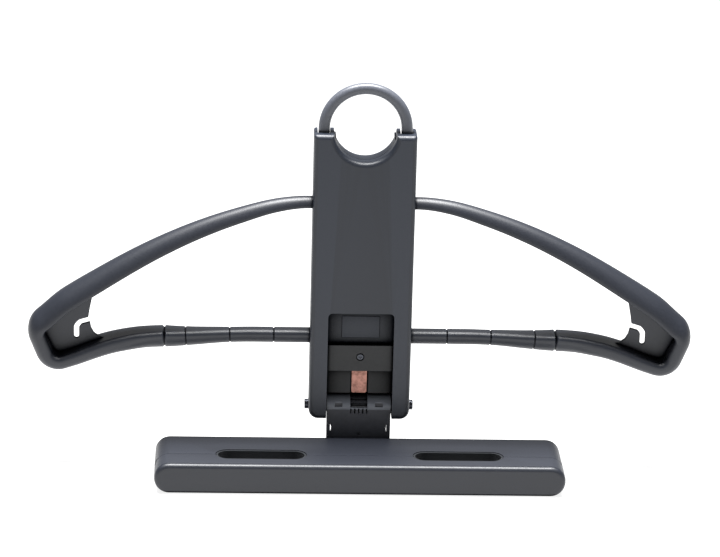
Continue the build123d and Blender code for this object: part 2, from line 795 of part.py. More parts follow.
with BuildPart() as hinge_bushes:
    for side in sides.values():
        with BuildSketch(across_plane(side * neck_width / 2)):
            with Locations((hinge_y, hinge_z)):
                Circle(barrel_bore_radius)
                Circle(plunger_stem_radius + running_clearance, mode=Mode.SUBTRACT)
        extrude(amount=-side * hinge_bush_length)
hinge_bushes.part.label = "hinge_bushes"
export_step(hinge_bushes.part, "parts/hinge_bushes.step")

for side_name, side in sides.items():
    with BuildPart() as plunger:
        with BuildSketch(across_plane(side * plunger_tip_gap / 2)):
            with Locations((hinge_y, hinge_z)):
                Circle(plunger_stem_radius)
        extrude(amount=side * (plunger_head_x - plunger_tip_gap / 2))
        with BuildSketch(across_plane(side * (plunger_collar_x - plunger_collar))):
            with Locations((hinge_y, hinge_z)):
                Circle(plunger_collar_radius)
        extrude(amount=side * plunger_collar)
        with BuildSketch(across_plane(side * plunger_head_x)):
            with Locations((hinge_y, hinge_z)):
                Circle(plunger_head_radius)
        extrude(amount=side * (plunger_end_x - plunger_head_x))
        fillet(plunger.faces().sort_by(Axis.X)[-1 if side > 0 else 0].edges(), 0.6)
        with BuildSketch(across_plane(side * plunger_end_x)):
            with Locations((hinge_y, hinge_z)):
                Rectangle(plunger_slot, 2 * plunger_head_radius)
        extrude(amount=-side * plunger_slot, mode=Mode.SUBTRACT)
    plunger.part.label = f"hinge_plunger_{side_name}"
    export_step(plunger.part, f"parts/hinge_plunger_{side_name}.step")

with BuildPart() as plunger_spring:
    with Locations(Location((-plunger_spring_length / 2, hinge_y, hinge_z), (0, 90, 0))):
        add(coil_spring(plunger_stem_radius - plunger_spring_wire, plunger_spring_wire,
                        plunger_spring_length, plunger_spring_turns))
plunger_spring.part.label = "plunger_spring"
export_step(plunger_spring.part, "parts/plunger_spring.step")


# ================================================================ hanger body shells
with BuildPart() as front_shell:
    with BuildSketch(front_plane(parting_y)):
        add(body_outline(0))
    extrude(amount=front_shell_depth)
    fillet(front_shell.faces().sort_by(Axis.Y)[0].edges(), body_edge_radius)
    with BuildSketch(front_plane(parting_y)):
        add(body_outline(body_wall))
    extrude(amount=front_shell_depth - body_wall, mode=Mode.SUBTRACT)
    # pocket walls and screw bosses
    with BuildSketch(front_plane(parting_y)):
        with Locations((0, (body_bottom + body_wall / 2 + pocket_top + pocket_wall) / 2)):
            Rectangle(pocket_width + 2 * pocket_wall, pocket_top + pocket_wall - body_bottom - body_wall / 2)
        with Locations(*both_sides([(x, hinge_z + z) for x, z in shell_screw_places])):
            Circle(screw_boss_radius)
    extrude(amount=front_shell_depth - body_wall / 2)
    # hinge cheeks behind the parting line
    with BuildSketch(front_plane(parting_y + cheek_reach)):
        with Locations(*both_sides([(cheek_x, (cheek_bottom + cheek_top) / 2)])):
            Rectangle(pocket_wall, cheek_top - cheek_bottom)
    extrude(amount=cheek_reach + pocket_floor)
    # the pocket: a floor closes its upper part, and it is open below the ledge
    with BuildSketch(front_plane(body_front_y)):
        add(pocket_outline())
    extrude(amount=-(front_shell_depth - pocket_floor), mode=Mode.SUBTRACT)
    with BuildSketch(front_plane(parting_y)):
        with Locations((0, (body_bottom - 1.0 + ledge_z) / 2)):
            Rectangle(pocket_width, ledge_z - body_bottom + 1.0)
    extrude(amount=pocket_floor, mode=Mode.SUBTRACT)
    # blank raised panel on the pocket floor
    with BuildSketch(front_plane(parting_y - pocket_floor)):
        with Locations((0, (ledge_z + pocket_top) / 2)):
            Rectangle(panel_length, panel_height)
    extrude(amount=panel_relief)
    # openings: cheek slots, plunger holes, ring legs, arm roots, screw pilots
    with BuildSketch(across_plane(-cheek_x - pocket_wall)):
        with Locations((hinge_y, (cheek_bottom + hinge_z) / 2)):
            Rectangle(2 * cheek_slot_half, hinge_z - cheek_bottom)
        with Locations((hinge_y, hinge_z)):
            Circle(cheek_slot_half)
    extrude(amount=2 * (cheek_x + pocket_wall), mode=Mode.SUBTRACT)
    add(rod_along_x(plunger_head_radius + running_clearance, -body_half, body_half, hinge_z),
        mode=Mode.SUBTRACT)
    with BuildSketch(front_plane(parting_y)):
        with Locations(*both_sides([(ring_radius, horn_top - body_wall)])):
            Rectangle(2 * ring_slot_half, 4 * body_wall)
    extrude(amount=ring_slot_half - (hinge_y - parting_y), mode=Mode.SUBTRACT)
    add(root_holes(arm_root, seat_clearance), mode=Mode.SUBTRACT)
    add(root_holes(bar_root, seat_clearance), mode=Mode.SUBTRACT)
    with BuildSketch(front_plane(parting_y)):
        with Locations(*both_sides([(x, hinge_z + z) for x, z in shell_screw_places])):
            Circle(screw_shank_radius + running_clearance)
    extrude(amount=front_shell_depth - body_wall, mode=Mode.SUBTRACT)
front_shell.part.label = "front_shell"
export_step(front_shell.part, "parts/front_shell.step")

with BuildPart() as back_shell:
    with BuildSketch(front_plane(parting_y)):
        add(body_outline(0))
    extrude(amount=-(body_back_y - parting_y))
    fillet(back_shell.faces().sort_by(Axis.Y)[-1].edges(), body_edge_radius)
    with BuildSketch(front_plane(parting_y)):
        add(body_outline(body_wall))
    extrude(amount=-(body_back_y - body_wall - parting_y), mode=Mode.SUBTRACT)
    add(rim_groove(body_outline(0), body_outline(shadow_gap), parting_y, -shadow_gap), mode=Mode.SUBTRACT)
    # screw bosses, the leaf spring's boss and the ring's pivot blocks
    with BuildSketch(front_plane(parting_y)):
        with Locations(*both_sides([(x, hinge_z + z) for x, z in shell_screw_places])):
            Circle(screw_boss_radius)
    extrude(amount=-(body_back_y - parting_y - body_wall / 2))
    with BuildSketch(front_plane(leaf_front_y + leaf_thickness)):
        with Locations((0, hinge_z + retainer_screw_rise)):
            Circle(leaf_width / 2)
    extrude(amount=-(body_back_y - leaf_front_y - leaf_thickness - body_wall / 2))
    with BuildSketch(front_plane(parting_y)):
        with Locations(*both_sides([(ring_block_x, ring_pivot_z)])):
            Rectangle(ring_block_width, 2 * ring_pin_reach)
    extrude(amount=-(body_back_y - parting_y - body_wall / 2))
    # openings: neck, ring legs, pivot pins, plunger holes, arm roots, screws
    with BuildSketch(Plane.XY.offset(body_bottom)):
        with Locations((0, (parting_y + neck_back_y) / 2)):
            Rectangle(pocket_width, neck_back_y - parting_y)
    extrude(amount=body_wall, mode=Mode.SUBTRACT)
    with BuildSketch(front_plane(parting_y)):
        with Locations(*both_sides([(ring_radius, (ring_pivot_z - ring_slot_half + horn_top + 1.0) / 2)])):
            Rectangle(2 * ring_slot_half, horn_top + 1.0 - ring_pivot_z + ring_slot_half)
    extrude(amount=-(body_back_y - parting_y), mode=Mode.SUBTRACT)
    for side in sides.values():
        add(rod_along_x(ring_pin_radius, side * ring_radius - ring_pin_reach,
                        side * ring_radius + ring_pin_reach, ring_pivot_z), mode=Mode.SUBTRACT)
    add(rod_along_x(plunger_head_radius + running_clearance, -body_half, body_half, hinge_z),
        mode=Mode.SUBTRACT)
    add(root_holes(arm_root, seat_clearance), mode=Mode.SUBTRACT)
    add(root_holes(bar_root, seat_clearance), mode=Mode.SUBTRACT)
    with BuildSketch(front_plane(body_back_y)):
        with Locations(*both_sides([(x, hinge_z + z) for x, z in shell_screw_places])):
            Circle(screw_shank_radius + loose_clearance / 2)
    extrude(amount=body_back_y - parting_y, mode=Mode.SUBTRACT)
    with BuildSketch(front_plane(body_back_y)):
        with Locations(*both_sides([(x, hinge_z + z) for x, z in shell_screw_places])):
            Circle(screw_head_radius + seat_clearance)
    extrude(amount=body_back_y - shell_screw_seat_y, mode=Mode.SUBTRACT)
    with BuildSketch(front_plane(leaf_front_y + leaf_thickness)):
        with Locations((0, hinge_z + retainer_screw_rise)):
            Circle(screw_shank_radius + running_clearance)
    extrude(amount=-(retainer_screw_length - 4.0), mode=Mode.SUBTRACT)
back_shell.part.label = "back_shell"
export_step(back_shell.part, "parts/back_shell.step")

with BuildPart() as shell_screws:
    for x, z in both_sides([(x, hinge_z + z) for x, z in shell_screw_places]):
        with Locations(Location((x, shell_screw_seat_y, z), (-90, 0, 0))):
            add(pan_screw(shell_screw_length))
shell_screws.part.label = "shell_screws"
export_step(shell_screws.part, "parts/shell_screws.step")

# ================================================================ ring and its pivots
with BuildPart() as hanging_ring:
    with BuildLine(Plane.XZ.offset(-hinge_y)) as bail:
        Line((ring_radius, ring_pivot_z), (ring_radius, scoop_z))
        CenterArc((0, scoop_z), ring_radius, 0, 180)
        Line((-ring_radius, scoop_z), (-ring_radius, ring_pivot_z))
    with BuildSketch(Plane(origin=(ring_radius, hinge_y, ring_pivot_z), z_dir=(0, 0, 1))):
        Circle(ring_rod_radius)
    sweep(path=bail.wires()[0])
    with Locations(*[(side * ring_radius, hinge_y, ring_pivot_z) for side in sides.values()]):
        Sphere(ring_rod_radius)
    add(rod_along_x(ring_pin_radius + running_clearance, -body_half, body_half, ring_pivot_z),
        mode=Mode.SUBTRACT)
hanging_ring.part.label = "hanging_ring"
export_step(hanging_ring.part, "parts/hanging_ring.step")

with BuildPart() as ring_pins:
    for side in sides.values():
        add(rod_along_x(ring_pin_radius, side * ring_radius - ring_pin_reach,
                        side * ring_radius + ring_pin_reach, ring_pivot_z))
ring_pins.part.label = "ring_pins"
export_step(ring_pins.part, "parts/ring_pins.step")

# ================================================================ leaf spring and its retainer
with BuildPart() as leaf_spring:
    with BuildSketch(front_plane(leaf_front_y)):
        with Locations((0, hinge_z + (leaf_tip_rise + leaf_top_rise) / 2)):
            RectangleRounded(leaf_width, leaf_top_rise - leaf_tip_rise, 1.2)
        with Locations((0, hinge_z + retainer_screw_rise)):
            Circle(screw_shank_radius + loose_clearance / 2, mode=Mode.SUBTRACT)
    extrude(amount=-leaf_thickness)
leaf_spring.part.label = "leaf_spring"
export_step(leaf_spring.part, "parts/leaf_spring.step")

with BuildPart() as spring_retainer:
    with BuildSketch(front_plane(leaf_front_y)):
        with Locations((0, (ledge_z + shelf_bottom_z) / 2 - seat_clearance)):
            Rectangle(pocket_width - 2 * seat_clearance, ledge_z - shelf_bottom_z)
    extrude(amount=leaf_front_y - shelf_y)
    with BuildSketch(front_plane(leaf_front_y)):
        with Locations((0, (retainer_bottom_z + shelf_bottom_z + 1.0) / 2)):
            Rectangle(pocket_width - 2 * seat_clearance, shelf_bottom_z + 1.0 - retainer_bottom_z)
        with Locations((0, (retainer_bottom_z + shelf_bottom_z) / 2)):
            Rectangle(retainer_slot_width, shelf_bottom_z - retainer_bottom_z, mode=Mode.SUBTRACT)
    extrude(amount=retainer_plate)
    with BuildSketch(front_plane(shelf_y)):
        with Locations((0, hinge_z + retainer_screw_rise)):
            Circle(screw_shank_radius + loose_clearance / 2)
    extrude(amount=-(leaf_front_y - shelf_y), mode=Mode.SUBTRACT)
    with BuildSketch(front_plane(shelf_y)):
        with Locations((0, hinge_z + retainer_screw_rise)):
            Circle(screw_head_radius + seat_clearance)
    extrude(amount=-screw_head, mode=Mode.SUBTRACT)
spring_retainer.part.label = "spring_retainer"
export_step(spring_retainer.part, "parts/spring_retainer.step")

with BuildPart() as retainer_screw:
    with Locations(Location((0, shelf_y + screw_head, hinge_z + retainer_screw_rise), (90, 0, 0))):
        add(pan_screw(retainer_screw_length))
retainer_screw.part.label = "retainer_screw"
export_step(retainer_screw.part, "parts/retainer_screw.step")

# ================================================================ wings and trouser bars
def solid_arm(depth, height):
    """Arm section before it is hollowed."""
    return band_section(depth, height, arm_corner)


def hollow_arm(depth, height):
    """Arm section's hollow."""
    return gutter_section(depth, height, wing_wall, gutter_overrun)


with BuildPart() as right_wing:
    add(arm_body(solid_arm, upper_stations, lower_stations))
    add(arm_body(hollow_arm, upper_stations[gutter_first:], lower_stations[:gutter_last]),
        mode=Mode.SUBTRACT)
    with BuildSketch(front_plane(hinge_y)):
        add(web_outline())
    extrude(amount=web_thickness / 2, both=True)
    with BuildSketch(arm_plane(flange_x, arm_root_rise + root_flange, 0)):
        add(band_section(root_depth + 2 * root_flange, arm_root_height + 2 * root_flange, arm_corner))
    extrude(amount=root_flange_length)
    add(ring_groove(joint_x), mode=Mode.SUBTRACT)
    with BuildSketch(across_plane(joint_x)):
        with Locations((hinge_y, joint_middle_z)):
            Circle(spigot_radius + running_clearance)
    extrude(amount=spigot_length + 0.5, mode=Mode.SUBTRACT)
right_wing.part.label = "right_wing"
export_step(right_wing.part, "parts/right_wing.step")

with BuildPart() as left_wing:
    mirror(right_wing.part, about=Plane.YZ)
left_wing.part.label = "left_wing"
export_step(left_wing.part, "parts/left_wing.step")

with BuildPart() as right_trouser_bar:
    for x, z, heading, depth, height in bar_stations:
        with BuildSketch(arm_plane(x, z, heading)):
            add(band_section(depth, height, arm_corner))
    loft()
    with BuildSketch(arm_plane(bar_stations[-1][0], bar_root_rise, -180)):
        add(band_section(root_depth, bar_root_height, arm_corner))
    extrude(amount=bar_stations[-1][0] - root_inner_x)
    for x in [joint_x] + groove_x:
        add(ring_groove(x), mode=Mode.SUBTRACT)
    with BuildSketch(across_plane(joint_x)):
        with Locations((hinge_y, joint_middle_z)):
            Circle(spigot_radius)
    extrude(amount=spigot_length)
    with BuildSketch(arm_plane(flange_x + root_flange_length, bar_root_rise - root_flange, -180)):
        add(band_section(root_depth + 2 * root_flange, bar_root_height + 2 * root_flange, arm_corner))
    extrude(amount=root_flange_length)
right_trouser_bar.part.label = "right_trouser_bar"
export_step(right_trouser_bar.part, "parts/right_trouser_bar.step")

with BuildPart() as left_trouser_bar:
    mirror(right_trouser_bar.part, about=Plane.YZ)
left_trouser_bar.part.label = "left_trouser_bar"
export_step(left_trouser_bar.part, "parts/left_trouser_bar.step")
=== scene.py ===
"""Looks for a clamp-on coat hanger: its arms, finishes and a plain studio round the CAD frame."""

import json
import math

import bmesh
import bpy
from mathutils import Matrix, Vector, noise


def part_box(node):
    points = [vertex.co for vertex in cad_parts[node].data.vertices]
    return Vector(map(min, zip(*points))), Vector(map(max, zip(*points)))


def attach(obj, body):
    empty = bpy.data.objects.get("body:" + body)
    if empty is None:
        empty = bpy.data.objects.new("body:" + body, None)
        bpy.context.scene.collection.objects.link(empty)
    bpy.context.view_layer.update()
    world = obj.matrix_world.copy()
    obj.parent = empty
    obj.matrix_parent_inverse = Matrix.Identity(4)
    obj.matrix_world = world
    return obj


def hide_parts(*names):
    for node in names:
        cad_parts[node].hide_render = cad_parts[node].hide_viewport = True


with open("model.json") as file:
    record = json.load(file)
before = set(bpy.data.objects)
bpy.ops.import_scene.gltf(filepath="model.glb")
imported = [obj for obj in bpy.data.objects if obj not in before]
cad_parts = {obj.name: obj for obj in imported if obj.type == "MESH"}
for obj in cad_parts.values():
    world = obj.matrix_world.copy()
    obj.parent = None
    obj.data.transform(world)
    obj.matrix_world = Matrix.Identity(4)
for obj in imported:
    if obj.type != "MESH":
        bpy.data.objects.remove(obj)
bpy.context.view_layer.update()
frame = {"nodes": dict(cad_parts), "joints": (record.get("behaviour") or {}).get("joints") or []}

bl_info = {
    "name": "Clamp-on Coat Hanger",
    "version": (1, 0, 0),
    "blender": (4, 5, 0),
    "location": "View3D > Sidebar > Hanger",
    "description": "Builds the hanger's arms and leaf spring and gives every piece its finish",
    "category": "Object",
}

MM = 0.001

# ---------------------------------------------------------------- places taken from the frame
HINGE = Vector(next(j["pos_m"] for j in frame["joints"] if j["name"] == "hanger_fold"))
BODY_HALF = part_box("front_shell")[1].x
SPIGOT = 9.0 * MM
JOINT_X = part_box("right_trouser_bar")[1].x - SPIGOT
BARREL_RADIUS = HINGE.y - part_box("neck_bracket")[0].y

# Stations of the arm's outer crest: x and height over the hinge in millimetres, heading in
# degrees from +X, depth front to back, and height of the section from crest to inner edge.
ROOT_INSIDE = 6.0
ROOT_X = BODY_HALF / MM - ROOT_INSIDE
UPPER_RUN = [
    (ROOT_X, 147.9, 0.0, 12.5, 6.9),
    (BODY_HALF / MM + 3.0, 147.9, 0.0, 12.5, 6.9),
    (56.0, 146.2, -9.0, 13.4, 7.6),
    (81.0, 139.9, -17.0, 15.0, 8.9),
    (106.0, 131.4, -21.0, 16.8, 10.0),
    (142.0, 115.3, -27.0, 20.5, 11.4),
    (175.0, 96.6, -31.5, 25.0, 12.4),
    (200.0, 80.8, -34.0, 28.4, 12.6),
]
LOWER_RUN = [
    (188.0, 29.3, -200.0, 28.0, 10.8),
    (176.0, 33.6, -199.0, 25.6, 11.2),
    (163.0, 37.4, -192.0, 23.2, 11.6),
    (149.0, 39.5, -186.0, 21.0, 12.4),
    (JOINT_X / MM, 40.4, -182.0, 19.0, 13.0),
]
BAR_RUN = [
    (JOINT_X / MM, 40.4, -182.0, 19.0, 13.0),
    (112.0, 41.9, -185.0, 15.6, 11.3),
    (90.0, 43.9, -183.0, 13.0, 9.8),
    (70.0, 44.4, -180.0, 12.5, 9.7),
    (ROOT_X, 44.4, -180.0, 12.5, 9.7),
]
TIP_DEPTH = 29.0
TIP_HEIGHTS = (12.6, 10.6)
TIP_LOW = (203.0, 25.2)
TIP_LOW_RADIUS = 16.0
TIP_HIGH_RADIUS = 17.0
TIP_SIDE = 12.0
TIP_HEADINGS = (-40.0, -112.0, -198.0)

HOLLOW_UPPER = (50.0, 78.0)
SOLID_BELOW = (42.0, 68.0)
ROLLED_FROM = (138.0, 160.0)
GROOVE_PITCH = 29.3
GROOVE_X = [JOINT_X / MM - GROOVE_PITCH * (i + 0.5) for i in range(3)]
WEB_FREE_LOW = [(164.0, 43.0), (171.6, 46.4), (176.4, 47.8), (179.2, 49.8), (181.2, 53.4), (181.7, 56.0)]
WEB_FREE_HIGH = [(182.9, 61.6), (182.2, 66.5), (180.3, 76.0), (176.5, 88.0)]
HOOK_PATH = [(182.6, 59.2), (188.6, 57.4), (191.0, 54.4), (191.0, 47.8)]
HOOK_RADIUS = 3.4
WEB_HIGH_FROM = 174.0
WEB_LOW_FROM = 176.0
WEB_LOW_HEADING = -190.0


# ---------------------------------------------------------------- settings
def linear(code):
    """Linear RGB of an sRGB hex colour."""
    parts = [int(code[i : i + 2], 16) / 255 for i in (1, 3, 5)]
    return tuple(c / 12.92 if c <= 0.04045 else ((c + 0.055) / 1.055) ** 2.4 for c in parts)


def colour_prop(name, description, code):
    """Colour setting whose default is an sRGB hex value."""
    return bpy.props.FloatVectorProperty(
        name=name, description=description, subtype="COLOR", size=3, min=0, max=1, default=linear(code)
    )


def length_prop(name, description, value_mm):
    """Length setting whose default is in millimetres."""
    return bpy.props.FloatProperty(
        name=name, description=description, subtype="DISTANCE", unit="LENGTH", default=value_mm * MM
    )


class HangerShape(bpy.types.PropertyGroup):
    """Sizes of the pieces built here."""

    arm_wall: length_prop("Arm wall", "Wall of the hollow arms", 2.2)
    rim_round: length_prop("Rim rounding", "Rounding of the arm's rims", 0.85)
    bar_round: length_prop("Bar rounding", "Rounding of the solid lower run and the trouser bars", 3.2)
    joint_chamfer: length_prop("Joint chamfer", "Chamfer on both sides of the trouser bar's joint", 1.1)
    groove_width: length_prop("Groove width", "Width of the trouser bar's rings", 1.1)
    groove_depth: length_prop("Groove depth", "Depth of the trouser bar's rings", 0.55)
    web_thickness: length_prop("Web thickness", "Web that closes an arm's tip", 2.4)
    hook_slot: length_prop("Strap slot", "Width of the strap slot in the web", 3.4)
    soft_edge: length_prop("Edge rounding", "Rounding that a mould leaves on sharp edges", 0.35)


class HangerFinish(bpy.types.PropertyGroup):
    """Colours of the finishes."""

    moulding: colour_prop("Moulding", "Dark blue-grey of the moulded body", "#1c212b")
    clamp: colour_prop("Clamp", "Blue-grey of the clamp, arms and bars", "#23262e")
    # The retainer's near-black colour is painted shade of the pocket it sits in.
    retainer: colour_prop("Retainer", "Darker nylon of the spring retainer", "#0b0d10")
    ring: colour_prop("Ring", "Smoother dark plastic of the ring", "#52555d")
    rubber: colour_prop("Rubber", "Slot liners", "#16191e")
    neck: colour_prop("Neck", "Coated steel of the neck", "#33353c")
    barrel: colour_prop("Barrel", "Burnished barrels of the hinge", "#6c7078")
    drum: colour_prop("Drum", "Acetal of the detent drum and bushes", "#24262b")
    zinc: colour_prop("Zinc", "Plated screws, rods and nuts", "#a2a5ab")
    plunger: colour_prop("Plunger", "Blackened steel of the hinge plungers", "#4c4e54")
    copper: colour_prop("Copper", "Bright skin of the leaf spring", "#8c665c")


class HangerStudio(bpy.types.PropertyGroup):
    """Camera and light."""

    distance: bpy.props.FloatProperty(
        name="Distance", description="Camera to hinge", subtype="DISTANCE", unit="LENGTH", default=2.4
    )
    elevation: bpy.props.FloatProperty(
        name="Elevation", description="Camera above the hinge", subtype="ANGLE", default=math.radians(21.0)
    )
    turn: bpy.props.FloatProperty(
        name="Turn", description="Camera to the left of the hinge", subtype="ANGLE", default=math.radians(2.5)
    )
    roll: bpy.props.FloatProperty(
        name="Roll", description="Roll of the camera", subtype="ANGLE", default=math.radians(1.5)
    )
    lens: bpy.props.FloatProperty(name="Lens", description="Focal length in millimetres", default=176.5)
    aim_rise: length_prop("Aim rise", "How far over the hinge the camera aims", 85.4)
    aim_side: length_prop("Aim side", "How far beside the hinge the camera aims", -1.2)
    room: bpy.props.FloatProperty(name="Room", description="Strength of the pale room", default=0.16)
    key: bpy.props.FloatProperty(
        name="Key",
        description="Power of the overhead softbox",
        unit="POWER",
        default=64.0,
    )
    back: bpy.props.FloatProperty(
        name="Back",
        description="Power of the panel behind",
        unit="POWER",
        default=2.4,
    )


# ---------------------------------------------------------------- small tools
def add_node(tree, kind, inputs=None, **settings):
    """One shader node with its settings, and its inputs set or linked."""
    made = tree.nodes.new(kind)
    for name, value in settings.items():
        setattr(made, name, value)
    for name, value in (inputs or {}).items():
        if isinstance(value, bpy.types.NodeSocket):
            tree.links.new(value, made.inputs[name])
        else:
            made.inputs[name].default_value = value
    return made


def rgba(colour, gain=1.0):
    """Colour with alpha, made lighter or darker."""
    return (*[min(c * gain, 1.0) for c in colour], 1.0)


def mesh_piece(name, vertices, faces, material, body, sharp_angle=35.0):
    """Object built from a mesh, riding on a body."""
    mesh = bpy.data.meshes.new(name)
    mesh.from_pydata([tuple(v) for v in vertices], [], faces)
    shaped = bmesh.new()
    shaped.from_mesh(mesh)
    bmesh.ops.recalc_face_normals(shaped, faces=shaped.faces)
    shaped.to_mesh(mesh)
    shaped.free()
    mesh.shade_smooth()
    mesh.set_sharp_from_angle(angle=math.radians(sharp_angle))
    mesh.materials.append(material)
    piece = bpy.data.objects.new(name, mesh)
    bpy.context.scene.collection.objects.link(piece)
    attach(piece, body)
    return piece


def paint(material, *nodes):
    """Gives CAD nodes a finish."""
    for name in nodes:
        slots = frame["nodes"][name].data.materials
        if not len(slots):
            slots.append(material)
        for i in range(len(slots)):
            slots[i] = material


def round_edges(piece, width):
    """Bevels the sharp edges of a piece."""
    bevel = piece.modifiers.new("soft_edge", "BEVEL")
    bevel.width = width
    bevel.segments = 2
    bevel.limit_method = "ANGLE"
    bevel.angle_limit = math.radians(40)


def soften(width, *nodes):
    """Rounds the sharp edges of CAD nodes and smooths what is left."""
    for name in nodes:
        piece = frame["nodes"][name]
        weld = piece.modifiers.new("weld", "WELD")
        weld.merge_threshold = 0.001 * MM
        flats = piece.modifiers.new("whole_flats", "DECIMATE")
        flats.decimate_type = "DISSOLVE"
        flats.angle_limit = math.radians(0.5)
        round_edges(piece, width)
        piece.modifiers.new("even_normals", "WEIGHTED_NORMAL").keep_sharp = True


# ---------------------------------------------------------------- finishes
# Reaches and rays of the painted shade in recesses and seams.
RECESS_SHADE_REACH = 34 * MM
SEAM_SHADE_REACH = 2.6 * MM
SHADE_RAYS = 8
TONE_PATCH = 45 * MM
COAT_MOTTLE = 3.5 * MM
COPPER_DENT = 2.6 * MM
COPPER_TARNISH = 4 * MM


def moulded_plastic(name, colour, roughness, grain_mm=1.3, relief_mm=0.012, own_shade=True):
    """Plastic moulded against a spark-eroded tool.

    Fine pits break the highlight up, the tone drifts a little across large faces, edges that
    hands rub are lighter, and recesses and narrow seams get painted shade: ambient occlusion
    darkens their colour and lowers their specular level. The real grain is about
    0.2 mm and is drawn coarser so that it shows.
    """
    material = bpy.data.materials.new(name)
    material.use_nodes = True
    tree = material.node_tree
    tree.nodes.clear()
    place = add_node(tree, "ShaderNodeTexCoord").outputs["Object"]
    grain = add_node(
        tree,
        "ShaderNodeTexNoise",
        {"Vector": place, "Scale": 1 / (grain_mm * MM), "Detail": 3.0, "Roughness": 0.6},
    )
    drift = add_node(tree, "ShaderNodeTexNoise", {"Vector": place, "Scale": 1 / TONE_PATCH, "Detail": 2.0})
    edge = add_node(tree, "ShaderNodeNewGeometry").outputs["Pointiness"]
    rubbed = add_node(
        tree,
        "ShaderNodeMapRange",
        {"Value": edge, "From Min": 0.505, "From Max": 0.58, "To Min": 0.0, "To Max": 1.0},
    )
    tone = add_node(
        tree,
        "ShaderNodeMix",
        {"Factor": drift.outputs["Fac"], "A": rgba(colour, 0.9), "B": rgba(colour, 1.1)},
        data_type="RGBA",
    )
    speckle = add_node(
        tree,
        "ShaderNodeMapRange",
        {
            "Value": grain.outputs["Fac"],
            "From Min": 0.3,
            "From Max": 0.7,
            "To Min": 0.0,
            "To Max": 1.0,
        },
    )
    flecked = add_node(
        tree,
        "ShaderNodeMix",
        {"Factor": speckle.outputs["Result"], "A": rgba(colour, 0.88), "B": tone.outputs["Result"]},
        data_type="RGBA",
    )
    worn = add_node(
        tree,
        "ShaderNodeMix",
        {"Factor": rubbed.outputs["Result"], "A": flecked.outputs["Result"], "B": rgba(colour, 1.5)},
        data_type="RGBA",
    )
    # Painted shade: ambient occlusion darkens the colour in recesses.
    open_sky = add_node(
        tree,
        "ShaderNodeAmbientOcclusion",
        {"Distance": RECESS_SHADE_REACH},
        samples=SHADE_RAYS,
        only_local=own_shade,
    )
    shaded = add_node(
        tree,
        "ShaderNodeMapRange",
        {
            "Value": open_sky.outputs["AO"],
            "From Min": 0.5,
            "From Max": 0.97,
            "To Min": 0.1,
            "To Max": 1.0,
        },
    )
    # Painted shade in narrow seams, such as the split between the jaws.
    seam_shade_ao = add_node(tree, "ShaderNodeAmbientOcclusion", {"Distance": SEAM_SHADE_REACH}, samples=SHADE_RAYS)
    seam_unshaded = add_node(
        tree,
        "ShaderNodeMapRange",
        {
            "Value": seam_shade_ao.outputs["AO"],
            "From Min": 0.6,
            "From Max": 0.94,
            "To Min": 0.0,
            "To Max": 1.0,
        },
    )
    unshaded_share = add_node(
        tree,
        "ShaderNodeMath",
        {0: shaded.outputs["Result"], 1: seam_unshaded.outputs["Result"]},
        operation="MULTIPLY",
    )
    # Painted shade: where recesses and seams close in, the colour is mixed towards a quarter of itself.
    painted_shade_colour = add_node(
        tree,
        "ShaderNodeMix",
        {"Factor": unshaded_share.outputs["Value"], "A": rgba(colour, 0.25), "B": worn.outputs["Result"]},
        data_type="RGBA",
    )
    # Painted shade on the gloss: the specular level falls from its usual 0.5 in recesses and seams.
    shaded_specular = add_node(tree, "ShaderNodeMath", {0: unshaded_share.outputs["Value"], 1: 0.5}, operation="MULTIPLY")
    gloss = add_node(
        tree,
        "ShaderNodeMapRange",
        {
            "Value": grain.outputs["Fac"],
            "From Min": 0.25,
            "From Max": 0.75,
            "To Min": roughness - 0.05,
            "To Max": roughness + 0.07,
        },
    )
    relief = add_node(
        tree, "ShaderNodeBump", {"Height": grain.outputs["Fac"], "Strength": 0.5, "Distance": relief_mm * MM}
    )
    shader = add_node(
        tree,
        "ShaderNodeBsdfPrincipled",
        {
            "Base Color": painted_shade_colour.outputs["Result"],
            "Specular IOR Level": shaded_specular.outputs["Value"],
            "Roughness": gloss.outputs["Result"],
            "IOR": 1.54,
            "Normal": relief.outputs["Normal"],
        },
    )
    add_node(tree, "ShaderNodeOutputMaterial", {"Surface": shader.outputs["BSDF"]})
    return material


def steel(name, colour, roughness, scratch_mm=0.6, metallic=1.0, tint=1.25):
    """Turned or drawn steel under a thin coat: fine streaks along the work and a mottled coat."""
    material = bpy.data.materials.new(name)
    material.use_nodes = True
    tree = material.node_tree
    tree.nodes.clear()
    place = add_node(tree, "ShaderNodeTexCoord").outputs["Object"]
    drawn = add_node(tree, "ShaderNodeMapping", {"Vector": place, "Scale": (0.15, 1.0, 1.0)})
    streaks = add_node(
        tree,
        "ShaderNodeTexNoise",
        {"Vector": drawn.outputs["Vector"], "Scale": 1 / (scratch_mm * MM), "Detail": 4.0},
    )
    mottle = add_node(
        tree,
        "ShaderNodeTexVoronoi",
        {"Vector": place, "Scale": 1 / COAT_MOTTLE},
        feature="SMOOTH_F1",
    )
    tone = add_node(
        tree,
        "ShaderNodeMix",
        {"Factor": mottle.outputs["Distance"], "A": rgba(colour, 0.85), "B": rgba(colour, tint)},
        data_type="RGBA",
    )
    gloss = add_node(
        tree,
        "ShaderNodeMapRange",
        {
            "Value": streaks.outputs["Fac"],
            "From Min": 0.3,
            "From Max": 0.7,
            "To Min": roughness - 0.06,
            "To Max": roughness + 0.08,
        },
    )
    relief = add_node(
        tree,
        "ShaderNodeBump",
        {"Height": streaks.outputs["Fac"], "Strength": 0.3, "Distance": 0.01 * MM},
    )
    shader = add_node(
        tree,
        "ShaderNodeBsdfPrincipled",
        {
            "Base Color": tone.outputs["Result"],
            "Roughness": gloss.outputs["Result"],
            "Metallic": metallic,
            "Normal": relief.outputs["Normal"],
        },
    )
    add_node(tree, "ShaderNodeOutputMaterial", {"Surface": shader.outputs["BSDF"]})
    return material


